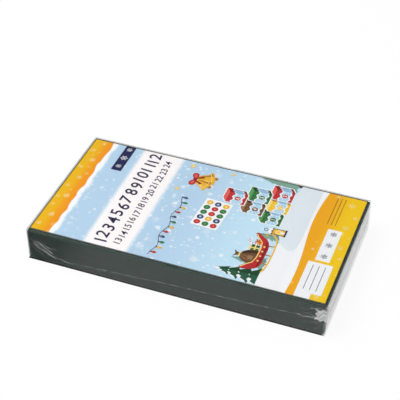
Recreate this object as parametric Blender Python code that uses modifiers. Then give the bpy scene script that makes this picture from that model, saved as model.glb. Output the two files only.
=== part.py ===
"""A fill-it-yourself advent calendar kit in its shrink wrap, as sold.

A dark green cardboard box (base tray and full depth lid) holds twenty-four gift
cartons folded flat in two stacks, with a sheet of number stickers on top. A printed
cover card lies loose on the lid, and two webs of clear film, welded together round
the sides, close the pack.

Metres, +Z up, +X along the pack's length and +Y from its near side to its far side.
The origin is at the middle of the face that the pack lies on.
"""
import math

import bmesh
import bpy
from mathutils import Matrix, Vector

# Gift carton, set up: long side, short side, height, and the flaps that close it
carton_length = 0.080
carton_depth = 0.040
carton_height = 0.060
carton_board = 0.00045
tuck_flap_depth = 0.015
tuck_corner_radius = 0.008
tuck_side_relief = 0.0008
dust_flap_depth = 0.028
dust_side_relief = 0.001
dust_shoulder = 0.007
dust_taper = 0.006
dust_corner_radius = 0.004
thumb_notch_radius = 0.009
score_width = 0.0007
score_depth = 0.00012
flap_score_step = 0.00003
flap_root_overlap = 0.0012
bottom_fold_recess = 0.0004
lock_wall_bite = 0.0001
fold_round_share = 0.999

# Two stacks of flat cartons
stack_count = 2
cartons_per_stack = 12
stack_clearance_along = 0.0026
stack_clearance_across = 0.0030

# Sheet of number stickers, cut to lie inside the tray
sheet_end_play = 0.034
sheet_side_play = 0.004
sheet_thickness = 0.0002
sheet_corner_radius = 0.003
sheet_border = 0.006
sticker_radius = 0.011
sticker_thickness = 0.0002
stickers_along = 6
stickers_across = 4

# Box: base tray and full depth lid, folded from one board each
box_board = 0.0006
fold_radius = 0.0010
tab_length = 0.014
tab_corner_cut = 0.004
tab_edge_play = 0.0010
glue_bite = 0.0001
tray_rim_play = 0.0010
lid_foot_play = 0.0010

# Printed card on the lid, with the strip of lid left bare on each side of it
card_thickness = 0.0004
card_corner_radius = 0.0006
card_margin_near = 0.0033
card_margin_far = 0.0008
card_margin_left = 0.0008
card_margin_right = 0.0020

# Clear film: two webs with a weld seam round the sides and one ear at a corner
film_thickness = 0.0002
film_edge_radius = 0.0006
film_foot_radius = 0.0008
seam_lip = 0.0005
ear_length = 0.0085
ear_height = 0.0080
ear_corner_play = 0.0016

# Gap that neighbours keep, the overrun of a cutter past what it cuts, and the distance
# within which points that belong together are welded
seat_gap = 0.0003
cutter_overrun = 0.001
weld_distance = 0.000005

# How far down the side the weld seam runs, at shares of each side's length. The sides
# follow one another: near side, right end, far side, left end.
seam_near_shares = [(0.0, 0.22), (0.13, 0.58), (0.19, 0.73), (0.27, 0.73), (0.52, 0.61),
                    (0.93, 0.50), (1.0, 0.36)]
seam_right_shares = [(0.0, 0.36), (0.12, 0.45), (1.0, 0.50)]
seam_far_shares = [(0.0, 0.50), (1.0, 0.50)]
seam_left_shares = [(0.0, 0.50), (0.5, 0.46), (1.0, 0.22)]

# Crests and valleys of the pleats in the film's ear: shares of the ear's length, and of
# the seam lip's width
ear_pleat_shares = [(0.0, 0.35), (0.14, 1.0), (0.34, 0.45), (0.52, 0.85), (0.68, 0.30),
                    (0.84, 1.0), (1.0, 0.50)]

# Outline of the glued bottom flaps inside the flat carton: shares of the width between
# its folds, and of the depth of half its bottom
lock_outline_shares = [(0.0, 0.0), (1.0, 0.0), (1.0, 0.55), (0.83, 1.30), (0.67, 0.60),
                       (0.50, 0.60), (0.33, 1.30), (0.17, 1.30), (0.0, 0.55)]

# What follows from the sizes above
flat_width = carton_length + carton_depth
flat_length = carton_height + carton_depth + tuck_flap_depth
flat_thickness = 4 * carton_board
stack_pitch = flat_thickness + seat_gap
stack_height = cartons_per_stack * stack_pitch - seat_gap

tray_inner_length = stack_count * flat_length + (stack_count + 1) * stack_clearance_along
tray_inner_width = flat_width + 2 * stack_clearance_across
sheet_length = tray_inner_length - 2 * sheet_end_play
sheet_width = tray_inner_width - 2 * sheet_side_play
sticker_run = sheet_length - 2 * (sheet_border + sticker_radius)
sticker_spread = sheet_width - 2 * (sheet_border + sticker_radius)
tray_length = tray_inner_length + 2 * box_board
tray_width = tray_inner_width + 2 * box_board
lid_length = tray_length + 2 * (seat_gap + 2 * box_board)
lid_width = tray_width + 2 * (seat_gap + box_board)
film_length = lid_length + 2 * (seat_gap + film_thickness)
film_width = lid_width + 2 * (seat_gap + film_thickness)

tray_foot = film_thickness + seat_gap
stack_foot = tray_foot + box_board + seat_gap
sheet_foot = stack_foot + stack_height + seat_gap
sticker_foot = sheet_foot + sheet_thickness + seat_gap
lid_underside = sticker_foot + sticker_thickness + seat_gap
lid_top = lid_underside + box_board
card_foot = lid_top + seat_gap
pack_height = card_foot + card_thickness + seat_gap + film_thickness

# Segments of the rounded outlines
fold_segments = 2
pressed_fold_segments = 1
corner_segments = 3
flap_corner_segments = 2
notch_segments = 14
sticker_segments = 16
sharp_angle_degrees = 35


def empty_scene():
    """Remove what the open file holds, so the script can be run again."""
    for item in list(bpy.data.objects):
        bpy.data.objects.remove(item, do_unlink=True)


def new_collection(name):
    group = bpy.data.collections.new(name)
    bpy.context.scene.collection.children.link(group)
    return group


def new_material(name, colour, roughness, alpha=1.0):
    """Principled finish with a plain colour; none of the pieces is metal."""
    material = bpy.data.materials.new(name)
    material.use_nodes = True
    shader = material.node_tree.nodes["Principled BSDF"]
    shader.inputs["Base Color"].default_value = (*colour, 1.0)
    shader.inputs["Roughness"].default_value = roughness
    shader.inputs["Metallic"].default_value = 0.0
    shader.inputs["Alpha"].default_value = alpha
    material.diffuse_color = (*colour, alpha)
    return material


def set_material(piece, material):
    """Give an object its own finish, also where it shares its mesh with others."""
    if not piece.data.materials:
        piece.data.materials.append(None)
    piece.material_slots[0].link = 'OBJECT'
    piece.material_slots[0].material = material


def add_piece(name, mesh, group, material=None, matrix=None):
    """One named object in a collection, at its place."""
    piece = bpy.data.objects.new(name, mesh)
    group.objects.link(piece)
    if matrix is not None:
        piece.matrix_world = matrix
    if material is not None:
        set_material(piece, material)
    return piece


def rest_on(piece, carrier):
    """Parent a piece to what it rests on, and leave it where it lies."""
    bpy.context.view_layer.update()
    piece.parent = carrier
    piece.matrix_parent_inverse = carrier.matrix_world.inverted()


def baked_mesh(piece):
    """The mesh that a curve or a set of modifiers gives, with its doubles welded, smooth
    on its round folds and sharp at its edges."""
    graph = bpy.context.evaluated_depsgraph_get()
    mesh = bpy.data.meshes.new_from_object(piece.evaluated_get(graph))
    work = bmesh.new()
    work.from_mesh(mesh)
    bmesh.ops.remove_doubles(work, verts=work.verts, dist=weld_distance)
    bmesh.ops.recalc_face_normals(work, faces=work.faces)
    work.to_mesh(mesh)
    work.free()
    mesh.shade_smooth()
    mesh.set_sharp_from_angle(angle=math.radians(sharp_angle_degrees))
    return mesh


def rounded_outline(corners, radii, segments):
    """Closed outline whose corners are arcs: each arc starts and ends where a circle
    of the corner's radius touches the two edges."""
    outline = []
    for index, (corner, radius) in enumerate(zip(corners, radii)):
        here = Vector(corner)
        back = (Vector(corners[index - 1]) - here).normalized()
        ahead = (Vector(corners[(index + 1) % len(corners)]) - here).normalized()
        if radius == 0.0:
            outline.append(here)
            continue
        half_angle = back.angle(ahead) / 2
        middle = here + (back + ahead).normalized() * radius / math.sin(half_angle)
        start = (here + back * radius / math.tan(half_angle) - middle).normalized()
        end = (here + ahead * radius / math.tan(half_angle) - middle).normalized()
        for step in range(segments + 1):
            outline.append(middle + start.slerp(end, step / segments, start) * radius)
    return outline


def rectangle(length, width, radius, centre=(0.0, 0.0)):
    """Rounded rectangle, anticlockwise from its lower left corner."""
    x, y = centre
    corners = [(x - length / 2, y - width / 2), (x + length / 2, y - width / 2),
               (x + length / 2, y + width / 2), (x - length / 2, y + width / 2)]
    return rounded_outline(corners, [radius] * 4, corner_segments)


def plate(name, outlines, thickness, group, matrix):
    """Flat plate: closed outlines in the plate's own plane, filled and extruded to
    both sides of it, then made a welded mesh. A second outline is a hole."""
    curve = bpy.data.curves.new(name, 'CURVE')
    curve.dimensions = '2D'
    curve.fill_mode = 'BOTH'
    curve.extrude = thickness / 2
    for outline in outlines:
        spline = curve.splines.new('POLY')
        spline.points.add(len(outline) - 1)
        spline.use_cyclic_u = True
        for point, place in zip(spline.points, outline):
            point.co = (place[0], place[1], 0.0, 1.0)
    drawn = bpy.data.objects.new(name, curve)
    group.objects.link(drawn)
    bpy.context.view_layer.update()
    mesh = baked_mesh(drawn)
    bpy.data.objects.remove(drawn)
    return add_piece(name, mesh, group, matrix=matrix)


def combine(piece, tools, operation):
    """Join tools to a piece or cut them from it, one Boolean after another."""
    for tool in tools:
        step = piece.modifiers.new(operation.lower(), 'BOOLEAN')
        step.operation = operation
        step.solver = 'EXACT'
        step.object = tool
        tool.hide_render = True
        tool.display_type = 'WIRE'
    bpy.context.view_layer.update()
    mesh = baked_mesh(piece)
    piece.modifiers.clear()
    piece.data = mesh


def thicken(piece, thickness):
    """Turn an open surface into a wall that lies on its inner side."""
    wall = piece.modifiers.new("wall", 'SOLIDIFY')
    wall.thickness = thickness
    wall.offset = -1.0
    wall.use_even_offset = True
    wall.use_quality_normals = True
    bpy.context.view_layer.update()
    mesh = baked_mesh(piece)
    piece.modifiers.clear()
    piece.data = mesh


def lifted(height):
    return Matrix.Translation((0.0, 0.0, height))


def flattened_tube(name, group):
    """The carton's four side panels, pressed flat. The profile lies across the carton:
    a racetrack with a slit inside it, scored where the two open folds are, and it is
    drawn out along the carton's height."""
    half = flat_thickness / 2
    outer_corners = [(0.0, 0.0), (carton_depth - score_width / 2, 0.0),
                     (carton_depth, score_depth), (carton_depth + score_width / 2, 0.0),
                     (flat_width, 0.0), (flat_width, flat_thickness),
                     (carton_length + score_width / 2, flat_thickness),
                     (carton_length, flat_thickness - score_depth),
                     (carton_length - score_width / 2, flat_thickness),
                     (0.0, flat_thickness)]
    fold = half * fold_round_share
    outer_radii = [fold, 0.0, 0.0, 0.0, fold, fold, 0.0, 0.0, 0.0, fold]
    inner_corners = [(carton_board, carton_board), (flat_width - carton_board, carton_board),
                     (flat_width - carton_board, flat_thickness - carton_board),
                     (carton_board, flat_thickness - carton_board)]
    inner_radii = [(half - carton_board) * fold_round_share] * 4
    outer = rounded_outline(outer_corners, outer_radii, pressed_fold_segments)
    inner = rounded_outline(inner_corners, inner_radii, pressed_fold_segments)
    across = Matrix(((0, 0, 1, carton_height / 2), (1, 0, 0, 0), (0, 1, 0, 0), (0, 0, 0, 1)))
    return plate(name, [outer, inner], carton_height, group, across)


def flat_carton_mesh(group):
    """A carton folded flat, lying on its back panels with its mouth towards +X: the
    pressed tube, the glued bottom flaps inside it, the closing flap with its tuck, two
    dust flaps and the thumb notch in the front panel."""
    carton = flattened_tube("flat_carton", group)
    flap_board = carton_board - 2 * flap_score_step
    back_level = carton_board / 2
    front_level = flat_thickness - carton_board / 2
    root = carton_height - flap_root_overlap
    closing_end = carton_height + carton_depth
    dust_end = carton_height + dust_flap_depth

    closing_sides = (carton_depth + tuck_side_relief, flat_width - tuck_side_relief)
    closing_outline = rounded_outline(
        [(root, closing_sides[0]), (closing_end + tuck_flap_depth, closing_sides[0]),
         (closing_end + tuck_flap_depth, closing_sides[1]), (root, closing_sides[1])],
        [0.0, tuck_corner_radius, tuck_corner_radius, 0.0], corner_segments)
    closing_flap = plate("closing_flap", [closing_outline], flap_board, group,
                         lifted(back_level))

    def dust_flap(name, straight_side, tapered_side, level):
        inward = math.copysign(1.0, straight_side - tapered_side)
        straight = straight_side - inward * dust_side_relief
        tapered = tapered_side + inward * dust_side_relief
        tip = tapered + inward * dust_taper
        corners = [(root, straight), (dust_end, straight), (dust_end, tip),
                   (carton_height + dust_shoulder, tip), (carton_height, tapered),
                   (root, tapered)]
        radii = [0.0, dust_corner_radius, dust_corner_radius, 0.0, 0.0, 0.0]
        outline = rounded_outline(corners, radii, flap_corner_segments)
        return plate(name, [outline], flap_board, group, lifted(level))

    back_dust_flap = dust_flap("back_dust_flap", 0.0, carton_depth, back_level)
    front_dust_flap = dust_flap("front_dust_flap", flat_width, carton_length, front_level)

    half_bottom = carton_depth / 2
    lock_side = carton_board - lock_wall_bite
    lock_width = flat_width - 2 * lock_side
    lock_outline = [(bottom_fold_recess + depth * half_bottom, lock_side + across * lock_width)
                    for across, depth in lock_outline_shares]
    lock_thickness = flat_thickness - 2 * lock_side
    bottom_lock = plate("bottom_lock", [lock_outline], lock_thickness, group,
                        lifted(flat_thickness / 2))
    combine(carton, [closing_flap, back_dust_flap, front_dust_flap, bottom_lock], 'UNION')

    bpy.ops.mesh.primitive_cylinder_add(
        vertices=notch_segments, radius=thumb_notch_radius,
        depth=carton_board + cutter_overrun, enter_editmode=False,
        location=(carton_height, carton_length / 2, flat_thickness + cutter_overrun / 2
                  - carton_board / 2 - lock_wall_bite))
    notch = bpy.context.object
    tuck_score = plate("tuck_score", [[
        (closing_end - score_width / 2, carton_board + score_depth),
        (closing_end, carton_board - score_depth),
        (closing_end + score_width / 2, carton_board + score_depth)]],
        flat_width, group,
        Matrix(((1, 0, 0, 0), (0, 0, -1, flat_width / 2), (0, 1, 0, 0), (0, 0, 0, 1))))
    combine(carton, [notch, tuck_score], 'DIFFERENCE')
    for tool in (closing_flap, back_dust_flap, front_dust_flap, bottom_lock, notch, tuck_score):
        bpy.data.objects.remove(tool)
    mesh = carton.data
    mesh.transform(carton.matrix_world)
    bpy.data.objects.remove(carton)
    return mesh


def open_box_mesh(length, width, height, open_up):
    """Folded board box without one end, its outside at the given size and its open end
    at z = 0 or at the height; the folds are rounded and the board lies inwards."""
    work = bmesh.new()
    bmesh.ops.create_cube(work, size=1.0)
    bmesh.ops.translate(work, verts=work.verts, vec=(0.0, 0.0, 0.5))
    bmesh.ops.scale(work, verts=work.verts, vec=(length, width, height))
    side = 1.0 if open_up else -1.0
    mouth = [face for face in work.faces if face.normal.z * side > 0.5]
    bmesh.ops.delete(work, geom=mouth, context='FACES_ONLY')
    folds = [edge for edge in work.edges if not edge.is_boundary]
    bmesh.ops.bevel(work, geom=folds, offset=fold_radius, segments=fold_segments,
                    profile=0.5, affect='EDGES')
    mesh = bpy.data.meshes.new("open_box")
    work.to_mesh(mesh)
    work.free()
    return mesh


def corner_tabs(prefix, length, width, low, high, group):
    """Four glued tabs: each is folded from a long wall on to the inside of an end wall,
    with its free corners cut off."""
    inner_end = length / 2 - box_board
    inner_side = width / 2 - box_board
    foot = low + tab_edge_play
    head = high - tab_edge_play
    tabs = []
    for end in (-1, 1):
        for side in (-1, 1):
            outline = [(side * (inner_side + glue_bite), foot),
                       (side * (inner_side - tab_length + tab_corner_cut), foot),
                       (side * (inner_side - tab_length), foot + tab_corner_cut),
                       (side * (inner_side - tab_length), head - tab_corner_cut),
                       (side * (inner_side - tab_length + tab_corner_cut), head),
                       (side * (inner_side + glue_bite), head)]
            middle = end * (inner_end - (box_board - glue_bite) / 2)
            upright = Matrix(((0, 0, 1, middle), (1, 0, 0, 0), (0, 1, 0, 0), (0, 0, 0, 1)))
            tabs.append(plate(f"{prefix}_tab", [outline], box_board + glue_bite, group,
                              upright))
    return tabs


def folded_box(name, length, width, low, high, open_up, group, tool_group, material):
    """Tray or lid between two levels, with its corner tabs glued in."""
    mesh = open_box_mesh(length, width, high - low, open_up)
    box = add_piece(name, mesh, group, matrix=lifted(low))
    thicken(box, box_board)
    tab_low = low + box_board if open_up else low
    tab_high = high if open_up else high - box_board
    tabs = corner_tabs(name, length, width, tab_low, tab_high, tool_group)
    combine(box, tabs, 'UNION')
    for tab in tabs:
        bpy.data.objects.remove(tab)
    set_material(box, material)
    return box


def seam_stations():
    """Points round the film's outline, each with its outward direction and the seam's
    height there. Each side takes its stations from its own table, and each upright
    edge is a narrow flat between the last station of one side and the first of the next."""
    radius = film_foot_radius
    half_length = film_length / 2 - radius
    half_width = film_width / 2 - radius
    sides = [(seam_near_shares, Vector((-half_length, -half_width)), Vector((1, 0)),
              2 * half_length),
             (seam_right_shares, Vector((half_length, -half_width)), Vector((0, 1)),
              2 * half_width),
             (seam_far_shares, Vector((half_length, half_width)), Vector((-1, 0)),
              2 * half_length),
             (seam_left_shares, Vector((-half_length, half_width)), Vector((0, -1)),
              2 * half_width)]
    stations = []
    for shares, start, along, length in sides:
        outward = Vector((along.y, -along.x))
        for share, down in shares:
            core = start + along * share * length
            stations.append((core, outward, pack_height * (1.0 - down)))
    return stations


def film_web(name, group, material, upper):
    """One web of film as a thin shell. Its outer surface is a loft: the upper web runs
    from its lip at the seam along the side wall, round the edge and into the flat face,
    and the lower web from the weld under that lip down to the fold it lies on."""
    radius = film_foot_radius
    inward = -1.0 if upper else 1.0
    work = bmesh.new()
    rings = []
    stations = seam_stations()
    count = len(stations)

    def ring(offset, levels):
        rings.append([work.verts.new((core.x + out.x * offset, core.y + out.y * offset, level))
                      for (core, out, seam), level in zip(stations, levels)])

    lip_levels = [seam - inward * (seat_gap / 2 + film_thickness) for core, out, seam in stations]
    if upper:
        ring(radius + seam_lip, lip_levels)
    ring(radius, lip_levels)
    if upper:
        for step in range(corner_segments + 1):
            turn = math.pi / 2 * step / corner_segments
            set_in = film_edge_radius * (1.0 - math.cos(turn))
            level = pack_height - film_edge_radius * (1.0 - math.sin(turn))
            ring(radius - set_in, [level] * count)
    else:
        ring(radius, [0.0] * count)
    for lower_ring, upper_ring in zip(rings, rings[1:]):
        for index in range(count):
            after = (index + 1) % count
            work.faces.new((lower_ring[index], lower_ring[after], upper_ring[after],
                            upper_ring[index]))
    work.faces.new(rings[-1])
    bmesh.ops.recalc_face_normals(work, faces=work.faces)
    cap = max(work.faces, key=lambda face: face.calc_area())
    if cap.normal.z * inward > 0.0:
        bmesh.ops.reverse_faces(work, faces=work.faces)
    mesh = bpy.data.meshes.new(name)
    work.to_mesh(mesh)
    work.free()
    web = add_piece(name, mesh, group)
    thicken(web, film_thickness)
    set_material(web, material)
    return web


def add_film_ear(web, group, material):
    """Fold the spare film of one corner flat against the near side, as pleats that
    stand on the upper web just above the weld seam."""
    wall = -film_width / 2 + film_thickness / 2
    right = film_length / 2 - ear_corner_play
    left = right - ear_length
    outline = [(right, wall), (left, wall)]
    for along, out in ear_pleat_shares:
        outline.append((left + along * ear_length, -film_width / 2 - out * seam_lip))
    seam = pack_height * (1.0 - seam_near_shares[-1][1])
    foot_level = seam + seat_gap + film_thickness
    ear = plate("film_ear", [outline], ear_height, group, lifted(foot_level + ear_height / 2))
    combine(web, [ear], 'UNION')
    bpy.data.objects.remove(ear)
    set_material(web, material)


empty_scene()
pack = new_collection("advent_calendar")
cutters = new_collection("cutters")

clear_film = new_material("clear_film", (0.86, 0.90, 0.90), 0.08, alpha=0.25)
green_board = new_material("green_board", (0.022, 0.048, 0.040), 0.45)
printed_card = new_material("printed_card", (0.46, 0.66, 0.84), 0.35)
sticker_backing = new_material("sticker_backing", (0.88, 0.87, 0.82), 0.40)
sticker_paper = new_material("sticker_paper", (0.72, 0.10, 0.08), 0.40)
carton_finishes = [new_material("carton_green", (0.05, 0.17, 0.06), 0.45),
                   new_material("carton_yellow", (0.86, 0.58, 0.03), 0.45),
                   new_material("carton_brown", (0.12, 0.05, 0.03), 0.45),
                   new_material("carton_red", (0.52, 0.03, 0.05), 0.45)]

film_lower = film_web("film_lower", pack, clear_film, upper=False)
base_tray = folded_box("base_tray", tray_length, tray_width, tray_foot,
                       lid_underside - tray_rim_play, True, pack, cutters, green_board)
rest_on(base_tray, film_lower)

carton_mesh = flat_carton_mesh(cutters)
top_piece = base_tray
for level in range(cartons_per_stack):
    for stack in range(stack_count):
        number = level * stack_count + stack + 1
        outer_end = tray_inner_length / 2 - stack_clearance_along
        foot = stack_foot + level * stack_pitch
        if stack == 0:
            place = Matrix.Translation((-outer_end, -flat_width / 2, foot))
        else:
            place = Matrix.Translation((outer_end, flat_width / 2, foot))
            place = place @ Matrix.Rotation(math.pi, 4, 'Z')
        finish = carton_finishes[(level + stack * 2) % len(carton_finishes)]
        carton = add_piece(f"gift_carton_{number:02d}", carton_mesh, pack, finish, place)
        rest_on(carton, top_piece)
        top_piece = carton

sticker_sheet = plate("sticker_sheet", [rectangle(sheet_length, sheet_width,
                                                  sheet_corner_radius)],
                      sheet_thickness, pack, lifted(sheet_foot + sheet_thickness / 2))
set_material(sticker_sheet, sticker_backing)
rest_on(sticker_sheet, top_piece)

bpy.ops.mesh.primitive_cylinder_add(vertices=sticker_segments, radius=sticker_radius,
                                    depth=sticker_thickness)
pattern_disc = bpy.context.object
sticker_mesh = pattern_disc.data
bpy.data.objects.remove(pattern_disc)
for row in range(stickers_across):
    for column in range(stickers_along):
        number = row * stickers_along + column + 1
        place = Matrix.Translation(((column / (stickers_along - 1) - 0.5) * sticker_run,
                                    (0.5 - row / (stickers_across - 1)) * sticker_spread,
                                    sticker_foot + sticker_thickness / 2))
        sticker = add_piece(f"number_sticker_{number:02d}", sticker_mesh, pack,
                            sticker_paper, place)
        rest_on(sticker, sticker_sheet)

box_lid = folded_box("box_lid", lid_length, lid_width, tray_foot + lid_foot_play, lid_top,
                     False, pack, cutters, green_board)
rest_on(box_lid, sticker_sheet)

card_length = lid_length - card_margin_left - card_margin_right
card_width = lid_width - card_margin_near - card_margin_far
card_centre = ((card_margin_left - card_margin_right) / 2,
               (card_margin_near - card_margin_far) / 2)
cover_card = plate("cover_card", [rectangle(card_length, card_width, card_corner_radius,
                                            card_centre)],
                   card_thickness, pack, lifted(card_foot + card_thickness / 2))
set_material(cover_card, printed_card)
rest_on(cover_card, box_lid)

film_upper = film_web("film_upper", pack, clear_film, upper=True)
add_film_ear(film_upper, cutters, clear_film)
rest_on(film_upper, cover_card)
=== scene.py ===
import math

import bpy
import numpy as np
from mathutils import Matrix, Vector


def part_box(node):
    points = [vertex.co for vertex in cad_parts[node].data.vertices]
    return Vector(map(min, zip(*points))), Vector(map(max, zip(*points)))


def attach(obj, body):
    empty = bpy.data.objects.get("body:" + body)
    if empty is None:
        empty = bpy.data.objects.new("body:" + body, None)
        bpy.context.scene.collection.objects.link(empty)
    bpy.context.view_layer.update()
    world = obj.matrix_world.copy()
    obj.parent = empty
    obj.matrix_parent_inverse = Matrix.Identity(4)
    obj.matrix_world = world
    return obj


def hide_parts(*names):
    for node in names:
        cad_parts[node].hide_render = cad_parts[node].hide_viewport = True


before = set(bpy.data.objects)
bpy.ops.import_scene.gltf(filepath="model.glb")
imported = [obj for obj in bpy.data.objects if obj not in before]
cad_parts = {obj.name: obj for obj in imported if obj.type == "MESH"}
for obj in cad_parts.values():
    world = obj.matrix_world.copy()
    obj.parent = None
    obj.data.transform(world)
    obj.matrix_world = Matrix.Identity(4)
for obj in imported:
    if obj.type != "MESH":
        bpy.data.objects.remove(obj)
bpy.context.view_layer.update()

# The studio: a white table under a pale room, and the camera of the photograph. The camera
# stands about a metre off, to the right of the near side and above it, with a long lens.
# What the film mirrors is darker overhead than at the horizon, so that it stays clear from
# above. Its sides mirror the table, which is bright past the right end and dim elsewhere: a
# painted shade of the pack. No light gets under the pack's edge, so a dark line is painted on
# the table there as its shadow.
camera_place = (0.24319, -0.64555, 0.61287)
camera_azimuth, camera_elevation = 20.72, 39.49
lens_millimetres, sensor_millimetres = 103, 36
# The darkest paint here and the two reaches after the table's size in the next line make a painted
# shadow: a dark line on the table at the pack's foot.
white, table_paint, shadow_line_paint = (1, 1, 1), (0.86, 0.86, 0.86), (0.01, 0.01, 0.01)
table_size, shadow_line_inside, shadow_line_outside = 6, 0.003, 0.0003
lamp_place, lamp_size, lamp_watts = (-0.55, -0.15, 1.15), 0.75, 13
room_light, ceiling_height, mirrored_horizon, mirrored_ceiling = 0.6, 0.45, 0.55, 0.09
# mirrored_front and mirrored_corner, with dark_from and dark_to, are a painted shade of the pack
# on the table as the film mirrors it: dim in front, dimmest at the left.
table_glow, mirrored_table, mirrored_front, mirrored_corner = 0.93, 0.92, 0.38, 0.12
bright_from, bright_to, dark_from, dark_to = 0.1185, 0.1225, -0.07, -0.115


class Signal:
    """Output of a shader node. Sums of signals and numbers become Math nodes: | takes the
    larger of two, & the smaller one, and < and > give 1 or 0."""

    def __init__(self, socket):
        self.socket, self.tree = socket, socket.id_data

    def maths(self, operation, *others):
        """Math node whose first input is this signal."""
        return new_node(self.tree, "Math", self, *others, operation=operation)

    __add__ = __radd__ = lambda self, other: self.maths('ADD', other)
    __sub__ = lambda self, other: self.maths('SUBTRACT', other)
    __rsub__ = lambda self, other: self.maths('MULTIPLY_ADD', -1, other)
    __mul__ = __rmul__ = lambda self, other: self.maths('MULTIPLY', other)
    __truediv__ = lambda self, other: self.maths('DIVIDE', other)
    __or__ = lambda self, other: self.maths('MAXIMUM', other)
    __and__ = lambda self, other: self.maths('MINIMUM', other)
    __lt__ = lambda self, other: self.maths('LESS_THAN', other)
    __gt__ = lambda self, other: self.maths('GREATER_THAN', other)
    __abs__ = lambda self: self.maths('ABSOLUTE')


def feed(socket, item):
    """Link a signal to a socket, or set the socket to a number, a vector or a colour."""
    if isinstance(item, Signal):
        item.tree.links.new(item.socket, socket)
    elif isinstance(item, tuple) and len(socket.default_value) > len(item):
        socket.default_value = (*item, 1)
    else:
        socket.default_value = item


def new_node(tree, kind, *inputs, output=0, **named):
    """Output of a new shader node. Names in small letters are its settings; the others are
    its sockets, with _ for a space."""
    made = tree.nodes.new("ShaderNode" + kind)
    for name, item in named.items():
        if name[0].isupper():
            feed(made.inputs[name.replace("_", " ")], item)
        else:
            setattr(made, name, item)
    for socket, item in zip(made.inputs, inputs):
        feed(socket, item)
    return Signal(made.outputs[output]) if made.outputs else None


def split(whole):
    """The three parts of a vector or a colour."""
    made = whole.tree.nodes.new("ShaderNodeSeparateXYZ")
    feed(made.inputs[0], whole)
    return [Signal(part) for part in made.outputs]


def fade(value, low, high):
    """Smooth step of a signal: 0 below low and 1 above high, or the other way round."""
    return new_node(value.tree, "MapRange", value, low, high, interpolation_type='SMOOTHSTEP')


def blend(factor, first, second):
    """Mix two colours by a factor, which is a signal."""
    made = factor.tree.nodes.new("ShaderNodeMix")
    made.data_type = 'RGBA'
    for place, item in ((0, factor), (6, first), (7, second)):
        feed(made.inputs[place], item)
    return Signal(made.outputs[2])


def blank_tree(owner):
    """The emptied node tree of a material or a world."""
    owner.use_nodes = True
    owner.node_tree.nodes.clear()
    return owner.node_tree


def rays(tree):
    """Masks of the rays that come straight or through film, and of the mirrored ones."""
    camera, through, glossy = (new_node(tree, "LightPath", output=f"Is {kind} Ray")
                               for kind in ("Camera", "Transmission", "Glossy"))
    return camera | through, glossy


def new_object(name, data):
    """An object with this mesh, curve, camera or lamp, in the scene."""
    made = bpy.data.objects.new(name, data)
    bpy.context.scene.collection.objects.link(made)
    return made


def new_mesh(name, vertices, faces):
    """An object with a mesh of these points and faces."""
    mesh = bpy.data.meshes.new(name)
    mesh.from_pydata(vertices, [], faces)
    return new_object(name, mesh)


def table_finish():
    """White paint that glows where it is seen straight. Mirrored, it is bright past the right
    end, and a painted shade of the pack dims it in front and most at the left. A painted
    shadow, a dark line, follows the pack's foot, but not at the right end."""
    material = bpy.data.materials.new("white_table")
    tree = blank_tree(material)
    straight, glossy = rays(tree)
    x, y, _ = split(new_node(tree, "TexCoord", output="Object"))
    past_end = fade(x, bright_from, bright_to)
    # Painted shade of the pack: the mirrored table dims from the front towards the left end.
    painted_pack_shade = fade(x, dark_from, dark_to) * (mirrored_corner - mirrored_front) + mirrored_front
    mirrored = past_end * (mirrored_table - mirrored_front) + painted_pack_shade
    glow = new_node(tree, "Emission", white, glossy * (mirrored - 1) + 1)
    table = new_node(tree, "MixShader", straight * table_glow | glossy,
                     new_node(tree, "BsdfDiffuse", table_paint), glow)
    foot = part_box("film_lower")[1]
    beyond = (abs(x) - foot[0]) | (abs(y) - foot[1])
    # Painted shadow: a dark line where the pack's foot meets the table.
    line = fade(beyond, shadow_line_outside, 0) * fade(beyond, -shadow_line_inside, -shadow_line_inside * 0.7)
    new_node(tree, "OutputMaterial", new_node(tree, "MixShader", line * (1 - past_end), table,
                                              new_node(tree, "BsdfDiffuse", shadow_line_paint)))
    return material


def camera_and_room():
    """Camera, table, lamp and room light."""
    scene = bpy.context.scene
    view = bpy.data.cameras.new("photograph_view")
    view.lens, view.sensor_width = lens_millimetres, sensor_millimetres
    scene.camera = new_object("photograph_view", view)
    scene.camera.location = camera_place
    scene.camera.rotation_euler = (math.radians(90 - camera_elevation), 0,
                                   math.radians(camera_azimuth))

    half = table_size / 2
    table = new_mesh("table_top", [(-half, -half, 0), (half, -half, 0), (half, half, 0),
                                   (-half, half, 0)], [(0, 1, 2, 3)])
    table.data.materials.append(table_finish())

    softbox = bpy.data.lights.new("softbox", 'AREA')
    softbox.shape, softbox.size, softbox.energy = 'SQUARE', lamp_size, lamp_watts
    lamp = new_object("softbox", softbox)
    lamp.location = lamp_place
    x, y, z = lamp_place
    lamp.rotation_euler = (math.atan2(math.hypot(x, y), z), 0, math.atan2(y, x) + math.pi / 2)
    lamp.visible_glossy = False

    room = bpy.data.worlds.new("room")
    tree = blank_tree(room)
    straight, glossy = rays(tree)
    height = fade(split(new_node(tree, "TexCoord", output="Generated"))[2], 0, ceiling_height)
    mirrored = height * (mirrored_ceiling - mirrored_horizon) + mirrored_horizon
    lit = blend(glossy, (room_light,) * 3, mirrored)
    new_node(tree, "OutputWorld", new_node(tree, "Background", blend(straight, lit, white)))
    scene.world = room
    scene.view_settings.view_transform = 'Standard'


camera_and_room()

# Base tray and full-depth lid: each is folded from one sheet of 0.6 mm greyboard, printed
# dark green outside under a satin varnish, with glued tabs in the corners. The folds are
# rubbed a little lighter, the cut edges show the grey core, and the inside is unprinted.
board_thickness, wear_width = 0.0006, 0.0007
board_green, rubbed_green = (0.013, 0.033, 0.026), (0.083, 0.127, 0.11)
board_inside, board_core = (0.56, 0.53, 0.47), (0.3, 0.27, 0.23)


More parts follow.
